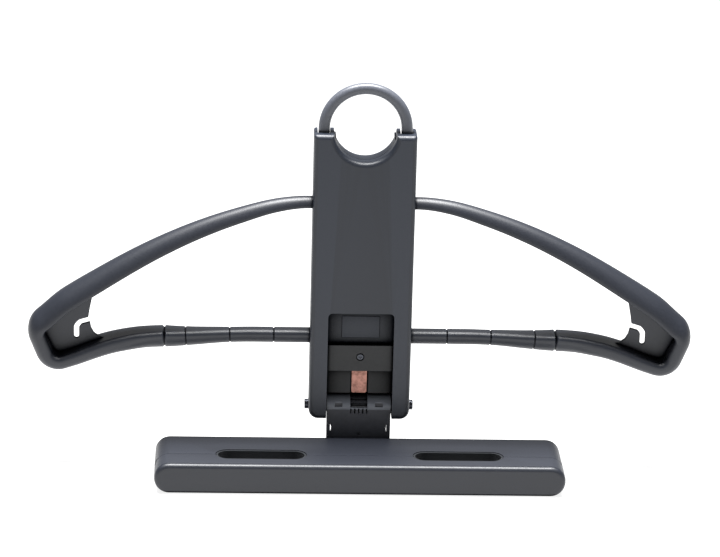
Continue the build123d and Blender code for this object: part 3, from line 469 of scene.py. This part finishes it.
def coated_neck(coat, barrel):
    """Pressed steel with a dark powder coat; its barrels are burnished lighter by the hinge."""
    material = steel("powder_coated_steel", coat, 0.42, 1.0, 0.0)
    tree = material.node_tree
    shader = next(n for n in tree.nodes if n.type == "BSDF_PRINCIPLED")
    base = shader.inputs["Base Color"].links[0].from_socket
    place = add_node(tree, "ShaderNodeTexCoord").outputs["Object"]
    round_axis = add_node(
        tree, "ShaderNodeVectorMath", {0: place, 1: (0.0, HINGE.y, HINGE.z)}, operation="SUBTRACT"
    )
    across = add_node(
        tree,
        "ShaderNodeVectorMath",
        {0: round_axis.outputs["Vector"], 1: (0.0, 1.0, 1.0)},
        operation="MULTIPLY",
    )
    radius = add_node(tree, "ShaderNodeVectorMath", {0: across.outputs["Vector"]}, operation="LENGTH")
    outside = add_node(
        tree,
        "ShaderNodeMapRange",
        {
            "Value": radius.outputs["Value"],
            "From Min": BARREL_RADIUS - 0.7 * MM,
            "From Max": BARREL_RADIUS - 0.3 * MM,
        },
    )
    beyond = add_node(
        tree,
        "ShaderNodeMapRange",
        {
            "Value": radius.outputs["Value"],
            "From Min": BARREL_RADIUS + 0.05 * MM,
            "From Max": BARREL_RADIUS + 0.2 * MM,
        },
    )
    on_barrel = add_node(
        tree,
        "ShaderNodeMath",
        {0: outside.outputs["Result"], 1: beyond.outputs["Result"]},
        operation="SUBTRACT",
        use_clamp=True,
    )
    tone = add_node(
        tree,
        "ShaderNodeMix",
        {"Factor": on_barrel.outputs["Value"], "A": base, "B": rgba(barrel)},
        data_type="RGBA",
    )
    tree.links.new(tone.outputs["Result"], shader.inputs["Base Color"])
    return material


def hammered_copper(colour):
    """Beryllium-copper strip: bright, a little tarnished, with the dents of rolling and bending."""
    material = bpy.data.materials.new("beryllium_copper_strip")
    material.use_nodes = True
    tree = material.node_tree
    tree.nodes.clear()
    place = add_node(tree, "ShaderNodeTexCoord").outputs["Object"]
    dents = add_node(tree, "ShaderNodeTexNoise", {"Vector": place, "Scale": 1 / COPPER_DENT, "Detail": 3.0})
    tarnish = add_node(
        tree,
        "ShaderNodeTexNoise",
        {"Vector": place, "Scale": 1 / COPPER_TARNISH, "Detail": 5.0, "Roughness": 0.7},
    )
    spread = add_node(
        tree,
        "ShaderNodeMapRange",
        {
            "Value": tarnish.outputs["Fac"],
            "From Min": 0.38,
            "From Max": 0.66,
            "To Min": 0.0,
            "To Max": 1.0,
        },
    )
    tone = add_node(
        tree,
        "ShaderNodeMix",
        {"Factor": spread.outputs["Result"], "A": rgba(colour, 1.25), "B": rgba(colour, 0.55)},
        data_type="RGBA",
    )
    relief = add_node(
        tree,
        "ShaderNodeBump",
        {"Height": dents.outputs["Fac"], "Strength": 0.7, "Distance": 0.25 * MM},
    )
    shader = add_node(
        tree,
        "ShaderNodeBsdfPrincipled",
        {
            "Base Color": tone.outputs["Result"],
            "Roughness": 0.3,
            "Metallic": 1.0,
            "Normal": relief.outputs["Normal"],
        },
    )
    add_node(tree, "ShaderNodeOutputMaterial", {"Surface": shader.outputs["BSDF"]})
    return material


def floor_paint():
    """Matt white studio floor that gives back a little light of its own."""
    material = bpy.data.materials.new("matt_white_floor")
    material.use_nodes = True
    tree = material.node_tree
    tree.nodes.clear()
    shader = add_node(
        tree,
        "ShaderNodeBsdfPrincipled",
        {
            "Base Color": (0.25, 0.25, 0.25, 1.0),
            "Roughness": 0.95,
            "Emission Color": (1.0, 1.0, 1.0, 1.0),
            "Emission Strength": 0.86,
        },
    )
    add_node(tree, "ShaderNodeOutputMaterial", {"Surface": shader.outputs["BSDF"]})
    return material


# ---------------------------------------------------------------- arm geometry
def heading_vector(heading):
    """Direction of travel in the front view."""
    return Vector((math.cos(math.radians(heading)), math.sin(math.radians(heading))))


def outward(heading):
    """Direction out of the crest in the front view."""
    return Vector((-math.sin(math.radians(heading)), math.cos(math.radians(heading))))


def tip_arcs():
    """Centres of the tip's two arcs, from its lowest point round to its high shoulder."""
    side = TIP_HEADINGS[1]
    low_centre = Vector(TIP_LOW) + Vector((0, TIP_LOW_RADIUS))
    side_end = low_centre + outward(side) * TIP_LOW_RADIUS
    side_start = side_end - heading_vector(side) * TIP_SIDE
    high_centre = side_start - outward(side) * TIP_HIGH_RADIUS
    return high_centre, low_centre


def smooth_run(stations, steps):
    """Stations joined by smooth curves that keep each station's heading."""
    made = []
    for i in range(len(stations) - 1):
        a, b = stations[i], stations[i + 1]
        before = stations[max(i - 1, 0)]
        after = stations[min(i + 2, len(stations) - 1)]
        pa, pb = Vector(a[:2]), Vector(b[:2])
        reach = (pb - pa).length
        ta, tb = heading_vector(a[2]) * reach, heading_vector(b[2]) * reach
        for k in range(steps + (i == len(stations) - 2)):
            s = k / steps
            h00, h10 = 2 * s**3 - 3 * s**2 + 1, s**3 - 2 * s**2 + s
            h01, h11 = -2 * s**3 + 3 * s**2, s**3 - s**2
            spot = pa * h00 + ta * h10 + pb * h01 + tb * h11
            sizes = []
            for n in (3, 4):
                slope_a = 0.5 * (b[n] - before[n]) if i else b[n] - a[n]
                slope_b = 0.5 * (after[n] - a[n]) if i < len(stations) - 2 else b[n] - a[n]
                sizes.append(a[n] * h00 + slope_a * h10 + b[n] * h01 + slope_b * h11)
            heading = a[2] + (b[2] - a[2]) * s
            made.append((spot.x, spot.y, heading, *sizes))
    return made


def arm_run():
    """Every station of an arm, from the body over the shoulder, round the tip to the joint."""
    high, side, low = TIP_HEADINGS
    high_centre, low_centre = tip_arcs()
    start = high_centre + outward(high) * TIP_HIGH_RADIUS
    end = low_centre + outward(low) * TIP_LOW_RADIUS
    tallest, lowest = TIP_HEIGHTS
    run = smooth_run(UPPER_RUN + [(start.x, start.y, high, TIP_DEPTH, tallest)], 7)
    for centre, radius, first, last in (
        (high_centre, TIP_HIGH_RADIUS, high, side),
        (low_centre, TIP_LOW_RADIUS, side, low),
    ):
        for step in range(0 if centre is low_centre else 1, 13):
            heading = first + (last - first) * step / 12
            spot = centre + outward(heading) * radius
            height = tallest + (lowest - tallest) * (heading - high) / (low - high)
            run.append((spot.x, spot.y, heading, TIP_DEPTH, height))
    return run + smooth_run([(end.x, end.y, low, TIP_DEPTH, lowest)] + LOWER_RUN, 6)[1:]


def ramp(value, low, high):
    """Smooth step from 0 at low to 1 at high."""
    s = min(max((value - low) / (high - low), 0.0), 1.0)
    return s * s * (3 - 2 * s)


def section(depth, height, wall, inset, rim, hollow, full):
    """Outline across an arm: crowned outside, rounded rims, and a hollow of the given share."""
    half = depth / 2 - inset
    power = 1.0 - 0.35 * full
    wall = max(wall, rim + 0.3)
    floor = -height + inset
    rise = height - 2 * inset
    base = math.asin(min(rim / rise, 0.9))
    edge = half * math.cos(base) - rim
    right = [(edge + rim * math.sin(a), floor + rim - rim * math.cos(a)) for a in (0.0, 0.5, 1.0, 1.45)]
    crown = [
        (math.copysign(half * abs(math.cos(t)) ** power, math.cos(t)), floor + rise * math.sin(t) ** power)
        for t in [base + (math.pi - 2 * base) * i / 22 for i in range(1, 22)]
    ]
    outside = right + crown + [(-y, n) for y, n in reversed(right)]
    inner_half = half - wall
    inner_rim = rim * hollow
    inner_rise = (rise - wall - inner_rim) * hollow
    corner = inner_half + inner_rim
    left = [
        (-corner + inner_rim * math.sin(a), floor + inner_rim - inner_rim * math.cos(a))
        for a in (0.0, 0.6, 1.2)
    ]
    vault = [
        (inner_half * math.cos(t), floor + inner_rim + inner_rise * math.sin(t))
        for t in [math.pi * (1 - i / 14) for i in range(1, 14)]
    ]
    return outside + left + vault + [(-y, n) for y, n in reversed(left)]


def sweep(run, wall, inset_at, shape_at):
    """Vertices and faces of a skin carried along a run of stations, closed at both ends."""
    vertices, faces = [], []
    for x, z, heading, depth, height in run:
        out = outward(heading)
        for y, n in section(depth, height, wall, inset_at(x, z), *shape_at(x, z)):
            vertices.append(Vector(((x + out.x * n) * MM, HINGE.y + y * MM, HINGE.z + (z + out.y * n) * MM)))
    ring = len(vertices) // len(run)
    for i in range(len(run) - 1):
        for k in range(ring):
            a, b = i * ring + k, i * ring + (k + 1) % ring
            faces.append((a, b, b + ring, a + ring))
    faces.append(tuple(range(ring)))
    faces.append(tuple(range(len(vertices) - ring, len(vertices))))
    return vertices, faces


def mirrored(vertices):
    """The same points on the hanger's other side."""
    return [Vector((-v.x, v.y, v.z)) for v in vertices]


def rounded_path(points, radius, steps=6):
    """Path with its corners turned into arcs."""
    made = [Vector(points[0])]
    for before, corner, after in zip(points, points[1:], points[2:]):
        corner = Vector(corner)
        back = (Vector(before) - corner).normalized()
        ahead = (Vector(after) - corner).normalized()
        reach = radius * math.tan((math.pi - back.angle(ahead)) / 2)
        first, last = corner + back * reach, corner + ahead * reach
        for i in range(steps + 1):
            s = i / steps
            made.append(first * (1 - s) ** 2 + corner * 2 * s * (1 - s) + last * s * s)
    made.append(Vector(points[-1]))
    return made


def slot_sides(path, width):
    """Both sides of a slot that follows a path, with a round inner end."""
    left, right = [], []
    for i, spot in enumerate(path):
        along = (path[min(i + 1, len(path) - 1)] - path[max(i - 1, 0)]).normalized()
        aside = Vector((-along.y, along.x)) * width / 2
        left.append(spot + aside)
        right.append(spot - aside)
    along = (path[-1] - path[-2]).normalized()
    aside = Vector((-along.y, along.x))
    turns = [math.pi * i / 6 for i in range(1, 6)]
    cap = [path[-1] + (aside * math.cos(a) + along * math.sin(a)) * width / 2 for a in turns]
    return left, cap, right


def web_outline(bite, slot_width):
    """Outline of the web in the front view, from the strap slot's mouth right round."""
    left, cap, right = slot_sides(rounded_path(HOOK_PATH, HOOK_RADIUS), slot_width)
    rim = []
    for x, z, heading, _, _ in arm_run():
        spot = Vector((x, z)) - outward(heading) * bite
        on_tip = heading > WEB_LOW_HEADING or spot.x > WEB_LOW_FROM
        if spot.x > WEB_HIGH_FROM and on_tip:
            rim.append(spot)
    high_edge = [Vector(p) for p in WEB_FREE_HIGH]
    low_edge = [Vector(p) for p in WEB_FREE_LOW]
    return low_edge + right + list(reversed(cap)) + list(reversed(left)) + high_edge + rim


def plate(outline, thickness):
    """Vertices and faces of a flat plate in the arms' middle plane."""
    count = len(outline)
    vertices = [
        Vector((p.x * MM, HINGE.y + side * thickness / 2, HINGE.z + p.y * MM))
        for side in (-1, 1)
        for p in outline
    ]
    faces = [tuple(range(count)), tuple(range(2 * count - 1, count - 1, -1))]
    faces += [(i, (i + 1) % count, count + (i + 1) % count, count + i) for i in range(count)]
    return vertices, faces


# ---------------------------------------------------------------- operators
class HANGER_OT_mouldings(bpy.types.Operator):
    """Finish the moulded body shells, jaws and covers"""

    bl_idname = "hanger.mouldings"
    bl_label = "Mouldings"

    def execute(self, context):
        finish, shape = context.scene.hanger_finish, context.scene.hanger_shape
        # Moulded ABS: satin, faintly grainy, with painted shade in the pocket behind the shells' rims.
        paint(moulded_plastic("moulded_abs", finish.moulding, 0.44, own_shade=False), "front_shell", "back_shell")
        # Glass-filled nylon: darker and duller than ABS, with short fibres in its skin. Its near-black colour is
        # painted shade of the pocket it sits in.
        paint(
            moulded_plastic("glass_filled_nylon", finish.retainer, 0.5, 0.9, 0.02, own_shade=False),
            "spring_retainer",
        )
        # The same ABS from a finer tool: smoother highlights along the clamp and the arms.
        paint(
            moulded_plastic("moulded_abs_fine", finish.clamp, 0.42, 1.1, 0.008),
            "front_jaw",
            "rear_jaw",
            "front_jaw_cover",
            "rear_jaw_cover",
        )
        soften(shape.soft_edge, "front_jaw", "rear_jaw", "spring_retainer")
        return {"FINISHED"}


class HANGER_OT_arms(bpy.types.Operator):
    """Build the two hollow arms with their webs"""

    bl_idname = "hanger.arms"
    bl_label = "Arms and webs"

    def execute(self, context):
        shape = context.scene.hanger_shape
        wall, chamfer = shape.arm_wall / MM, shape.joint_chamfer / MM
        rim, rolled = shape.rim_round / MM, shape.bar_round / MM
        joint = JOINT_X / MM
        run = arm_run()
        last = run.pop()
        before = run[-1]
        share = (before[0] - joint - chamfer) / (before[0] - joint)
        run += [tuple(a + (b - a) * share for a, b in zip(before, last)), last]

        def shape_at(x, z):
            high = ramp(z, *SOLID_BELOW)
            rounding = rolled + (rim - rolled) * high
            return rounding, ramp(x, *HOLLOW_UPPER) * high, (1.0 - high) * ramp(x, *ROLLED_FROM)

        def inset_at(x, z):
            return max(0.0, chamfer - (x - joint)) if z < SOLID_BELOW[1] else 0.0

        vertices, faces = sweep(run, wall, inset_at, shape_at)
        web_vertices, web_faces = plate(web_outline(wall / 2, shape.hook_slot / MM), shape.web_thickness)
        abs_arm = bpy.data.materials["moulded_abs_fine"]
        for side, flip in (("right", list), ("left", mirrored)):
            arm = mesh_piece(f"{side}_arm", flip(vertices), faces, abs_arm, "hanger_body")
            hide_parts(f"{side}_wing")
            web = mesh_piece(
                f"{side}_web",
                flip(web_vertices),
                web_faces,
                abs_arm,
                "hanger_body",
            )
            round_edges(web, shape.soft_edge)
        return {"FINISHED"}


class HANGER_OT_trouser_bars(bpy.types.Operator):
    """Build the two trouser bars with their rings and joint chamfers"""

    bl_idname = "hanger.trouser_bars"
    bl_label = "Trouser bars"

    def execute(self, context):
        shape = context.scene.hanger_shape
        rolled, chamfer = shape.bar_round / MM, shape.joint_chamfer / MM
        half, deep = shape.groove_width / MM / 2, shape.groove_depth / MM
        joint = JOINT_X / MM
        coarse = smooth_run(BAR_RUN, 10)
        stops = sorted(
            {s[0] for s in coarse}
            | {joint - chamfer}
            | {g + d for g in GROOVE_X for d in (-half, -half * 0.6, half * 0.6, half)},
            reverse=True,
        )
        run = []
        for x in stops:
            a, b = next((a, b) for a, b in zip(coarse, coarse[1:]) if b[0] <= x <= a[0])
            share = (a[0] - x) / (a[0] - b[0])
            run.append(tuple(p + (q - p) * share for p, q in zip(a, b)))

        def inset_at(x, _):
            near = min(abs(x - g) for g in GROOVE_X)
            ring = deep * (1.0 - ramp(near, half * 0.55, half))
            return max(ring, chamfer - (joint - x), 0.0)

        vertices, faces = sweep(run, rolled, inset_at, lambda *_: (rolled, 0.0, 0.0))
        for side, flip in (("right", list), ("left", mirrored)):
            bar = mesh_piece(
                f"{side}_bar",
                flip(vertices),
                faces,
                bpy.data.materials["moulded_abs_fine"],
                "hanger_body",
            )
            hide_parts(f"{side}_trouser_bar")
        return {"FINISHED"}


class HANGER_OT_ring(bpy.types.Operator):
    """Finish the hanging ring"""

    bl_idname = "hanger.ring"
    bl_label = "Hanging ring"

    def execute(self, context):
        # Nylon polished by the rail it hangs on: a clearer highlight over the top of the ring.
        paint(
            moulded_plastic("polished_nylon", context.scene.hanger_finish.ring, 0.36, 2.0, 0.006),
            "hanging_ring",
        )
        return {"FINISHED"}


class HANGER_OT_leaf(bpy.types.Operator):
    """Build the detent's leaf spring"""

    bl_idname = "hanger.leaf"
    bl_label = "Leaf spring"

    def execute(self, context):
        low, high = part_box("leaf_spring")
        across, along = 16, 40
        round_corner, dent, dent_spread = 1.0 * MM, 0.16 * MM, 5.0 * MM
        vertices, faces = [], []
        for face_y, lean in ((low.y, -1), (high.y, 1)):
            for j in range(along + 1):
                z = low.z + (high.z - low.z) * j / along
                end = min(z - low.z, high.z - z)
                pull = round_corner - math.sqrt(max(round_corner**2 - max(round_corner - end, 0.0) ** 2, 0.0))
                for i in range(across + 1):
                    s = i / across
                    x = (low.x + pull) * (1 - s) + (high.x - pull) * s
                    wave = noise.noise(Vector((x, 0.0, z)) / dent_spread)
                    vertices.append(Vector((x, face_y + dent * (wave - 0.2 * lean), z)))
        row = across + 1
        sheet = row * (along + 1)
        for j in range(along):
            for i in range(across):
                a = j * row + i
                faces.append((a, a + 1, a + row + 1, a + row))
                faces.append((sheet + a, sheet + a + row, sheet + a + row + 1, sheet + a + 1))
        edge = [i for i in range(row)] + [j * row + across for j in range(1, along + 1)]
        edge += [along * row + i for i in range(across - 1, -1, -1)]
        edge += [j * row for j in range(along - 1, 0, -1)]
        faces += [(a, sheet + a, sheet + b, b) for a, b in zip(edge, edge[1:] + edge[:1])]
        copper = hammered_copper(context.scene.hanger_finish.copper)
        leaf = mesh_piece("copper_leaf", vertices, faces, copper, "hanger_body")
        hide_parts("leaf_spring")
        return {"FINISHED"}


class HANGER_OT_hinge(bpy.types.Operator):
    """Finish the neck, drum, bushes and plungers"""

    bl_idname = "hanger.hinge"
    bl_label = "Hinge"

    def execute(self, context):
        finish, shape = context.scene.hanger_finish, context.scene.hanger_shape
        paint(coated_neck(finish.neck, finish.barrel), "neck_bracket")
        # Turned acetal: smooth, with a low waxy gleam.
        paint(
            moulded_plastic("turned_acetal", finish.drum, 0.28, 0.8, 0.004),
            "detent_drum",
            "hinge_bushes",
            "rod_bushes",
        )
        # Blackened steel: a dark coat with a metal gleam on its edges.
        paint(
            steel("blackened_steel", finish.plunger, 0.34),
            "hinge_plunger_left",
            "hinge_plunger_right",
            "ring_pins",
            "shell_screws",
            "retainer_screw",
        )
        soften(shape.soft_edge / 2, "detent_drum")
        return {"FINISHED"}


class HANGER_OT_clamp_parts(bpy.types.Operator):
    """Finish the liners, rods, springs and screws"""

    bl_idname = "hanger.clamp_parts"
    bl_label = "Clamp parts"

    def execute(self, context):
        finish = context.scene.hanger_finish
        # Moulded rubber: nearly black, without a gleam.
        paint(
            moulded_plastic("moulded_rubber", finish.rubber, 0.78, 0.9, 0.03),
            "front_liner_left",
            "front_liner_right",
            "rear_liner_left",
            "rear_liner_right",
        )
        # Zinc-plated steel: pale and fairly bright, faintly mottled.
        paint(
            steel("zinc_plated_steel", finish.zinc, 0.36),
            "guide_rod_left",
            "guide_rod_right",
            "rod_washers",
            "rod_nuts",
            "rear_cover_screws",
            "front_cover_screws",
            "neck_screws",
        )
        # Drawn spring wire: brighter than the plating, with streaks along the wire.
        paint(
            steel("drawn_spring_wire", finish.zinc, 0.22, 0.3),
            "clamp_spring_left",
            "clamp_spring_right",
            "plunger_spring",
        )
        return {"FINISHED"}


def softbox(name, place, target, size, power):
    """Square area light that faces a point."""
    light = bpy.data.lights.new(name, "AREA")
    light.shape = "RECTANGLE"
    light.size, light.size_y = size
    light.energy = power
    lamp = bpy.data.objects.new(name, light)
    lamp.location = place
    lamp.rotation_mode = "QUATERNION"
    lamp.rotation_quaternion = (Vector(target) - Vector(place)).to_track_quat("-Z", "Y")
    bpy.context.scene.collection.objects.link(lamp)


class HANGER_OT_studio(bpy.types.Operator):
    """Set up the white floor, the soft light and the camera"""

    bl_idname = "hanger.studio"
    bl_label = "Studio"

    def execute(self, context):
        scene, studio = context.scene, context.scene.hanger_studio
        reach = 6.0
        corners = [(-reach, -reach, 0.0), (reach, -reach, 0.0), (reach, reach, 0.0), (-reach, reach, 0.0)]
        mesh = bpy.data.meshes.new("floor")
        mesh.from_pydata(corners, [], [(0, 1, 2, 3)])
        mesh.materials.append(floor_paint())
        floor = bpy.data.objects.new("floor", mesh)
        scene.collection.objects.link(floor)

        world = bpy.data.worlds.new("white_room")
        world.use_nodes = True
        world.node_tree.nodes.clear()
        background = add_node(
            world.node_tree, "ShaderNodeBackground", {"Color": (1.0, 1.0, 1.0, 1.0), "Strength": studio.room}
        )
        add_node(world.node_tree, "ShaderNodeOutputWorld", {"Surface": background.outputs["Background"]})
        scene.world = world
        middle = Vector((0.0, HINGE.y, 0.12))
        softbox("overhead_softbox", (0.0, 0.12, 1.3), middle, (1.0, 0.45), studio.key)
        softbox("back_panel", (0.0, 1.9, 0.75), middle, (2.6, 1.4), studio.back)

        ahead = Vector(
            (
                math.sin(studio.turn) * math.cos(studio.elevation),
                math.cos(studio.turn) * math.cos(studio.elevation),
                -math.sin(studio.elevation),
            )
        )
        aside = Vector((math.cos(studio.turn), -math.sin(studio.turn), 0.0))
        upward = aside.cross(ahead)
        spot = HINGE - ahead * studio.distance
        aim = HINGE + upward * studio.aim_rise + aside * studio.aim_side
        lens = bpy.data.cameras.new("camera")
        lens.sensor_width = 36.0
        lens.lens = studio.lens
        lens.clip_start, lens.clip_end = 0.1, 30.0
        camera = bpy.data.objects.new("camera", lens)
        camera.rotation_mode = "QUATERNION"
        view = (aim - spot).to_track_quat("-Z", "Y")
        camera.rotation_quaternion = view @ Matrix.Rotation(studio.roll, 3, "Z").to_quaternion()
        camera.location = spot
        scene.collection.objects.link(camera)
        scene.camera = camera
        scene.view_settings.view_transform = "Standard"
        return {"FINISHED"}


class HANGER_PT_panel(bpy.types.Panel):
    """Lists the hanger's steps and settings"""

    bl_idname = "HANGER_PT_panel"
    bl_label = "Coat Hanger"
    bl_space_type = "VIEW_3D"
    bl_region_type = "UI"
    bl_category = "Hanger"

    def draw(self, context):
        for step in STEPS:
            self.layout.operator(step.bl_idname)
        for group in (context.scene.hanger_shape, context.scene.hanger_finish, context.scene.hanger_studio):
            box = self.layout.box()
            for name in group.__annotations__:
                box.prop(group, name)


STEPS = (
    HANGER_OT_mouldings,
    HANGER_OT_arms,
    HANGER_OT_trouser_bars,
    HANGER_OT_ring,
    HANGER_OT_leaf,
    HANGER_OT_hinge,
    HANGER_OT_clamp_parts,
    HANGER_OT_studio,
)
GROUPS = {"hanger_shape": HangerShape, "hanger_finish": HangerFinish, "hanger_studio": HangerStudio}


def register():
    """Registers the settings, steps and panel."""
    for name, group in GROUPS.items():
        bpy.utils.register_class(group)
        setattr(bpy.types.Scene, name, bpy.props.PointerProperty(type=group))
    for step in STEPS:
        bpy.utils.register_class(step)
    bpy.utils.register_class(HANGER_PT_panel)


def unregister():
    """Takes them away again."""
    bpy.utils.unregister_class(HANGER_PT_panel)
    for step in reversed(STEPS):
        bpy.utils.unregister_class(step)
    for name, group in GROUPS.items():
        delattr(bpy.types.Scene, name)
        bpy.utils.unregister_class(group)


def main():
    register()
    bpy.ops.hanger.mouldings()
    bpy.ops.hanger.arms()
    bpy.ops.hanger.trouser_bars()
    bpy.ops.hanger.ring()
    bpy.ops.hanger.leaf()
    bpy.ops.hanger.hinge()
    bpy.ops.hanger.clamp_parts()
    bpy.ops.hanger.studio()


if __name__ == "__main__":
    main()
